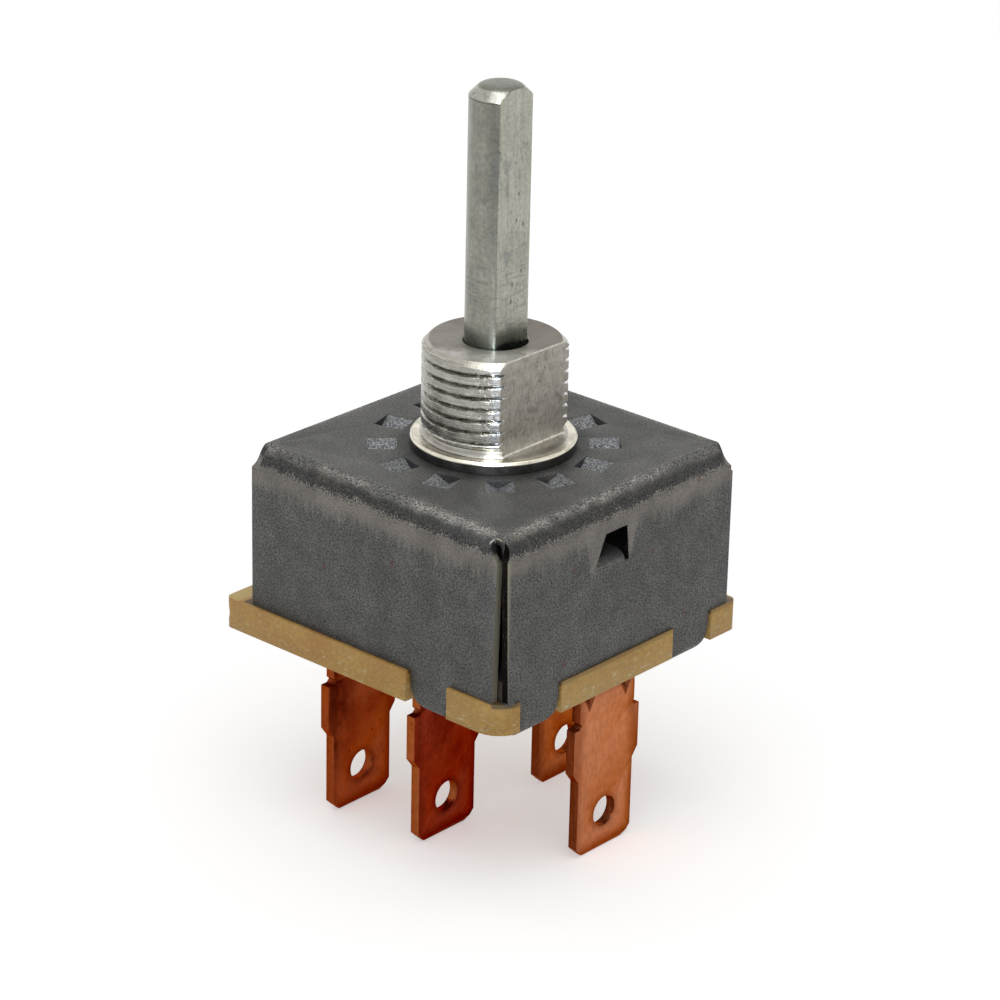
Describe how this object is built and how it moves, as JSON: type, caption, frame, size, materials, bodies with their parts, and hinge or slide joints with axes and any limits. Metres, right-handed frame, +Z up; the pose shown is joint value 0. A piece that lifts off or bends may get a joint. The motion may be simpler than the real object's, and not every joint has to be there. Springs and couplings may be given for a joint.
{
  "type": "rotary blower switch",
  "caption": "Rotary blower switch with a D shaft, a threaded bushing, a square sheet-steel can, a moulded base and copper blade terminals.",
  "frame": {"origin": "on the shaft axis, at the level of the four blade tips", "axes": "+Z up along the shaft, +X towards the wall with the stop window and the shaft's flat"},
  "size_m": [0.0287, 0.0274, 0.0585],
  "materials": {
    "phosphated_steel": "dull dark grey phosphate, lighter where scuffed",
    "tan_moulding": "tan moulding with a dull skin",
    "bright_alloy": "bright, turned thread",
    "plated_steel": "bright zinc plate",
    "copper": "bare stamped copper, stained",
    "rotor_moulding": "dark moulding",
    "spring_steel": "plain steel"
  },
  "bodies": {
    "case": {"housing": "phosphated_steel", "base": "tan_moulding", "bushing": "bright_alloy", "terminal_front": "copper", "terminal_left_near": "copper", "terminal_left_far": "copper", "terminal_right": "copper", "rivet_front": "copper", "rivet_left_near": "copper", "rivet_left_far": "copper", "rivet_right": "copper"},
    "spindle": {"shaft": "plated_steel", "thrust_washer": "spring_steel", "retaining_ring": "spring_steel", "rotor": "rotor_moulding", "contactor": "copper", "contact_spring": "spring_steel", "detent_ball_1": "spring_steel", "detent_ball_2": "spring_steel", "detent_spring_1": "spring_steel", "detent_spring_2": "spring_steel"}
  },
  "joints": [
    {"name": "shaft_turn", "type": "hinge", "parent": "case", "child": "spindle", "pos_m": [0, 0, 0.03], "axis": [0, 0, -1], "range_deg": [0, 90]}
  ]
}
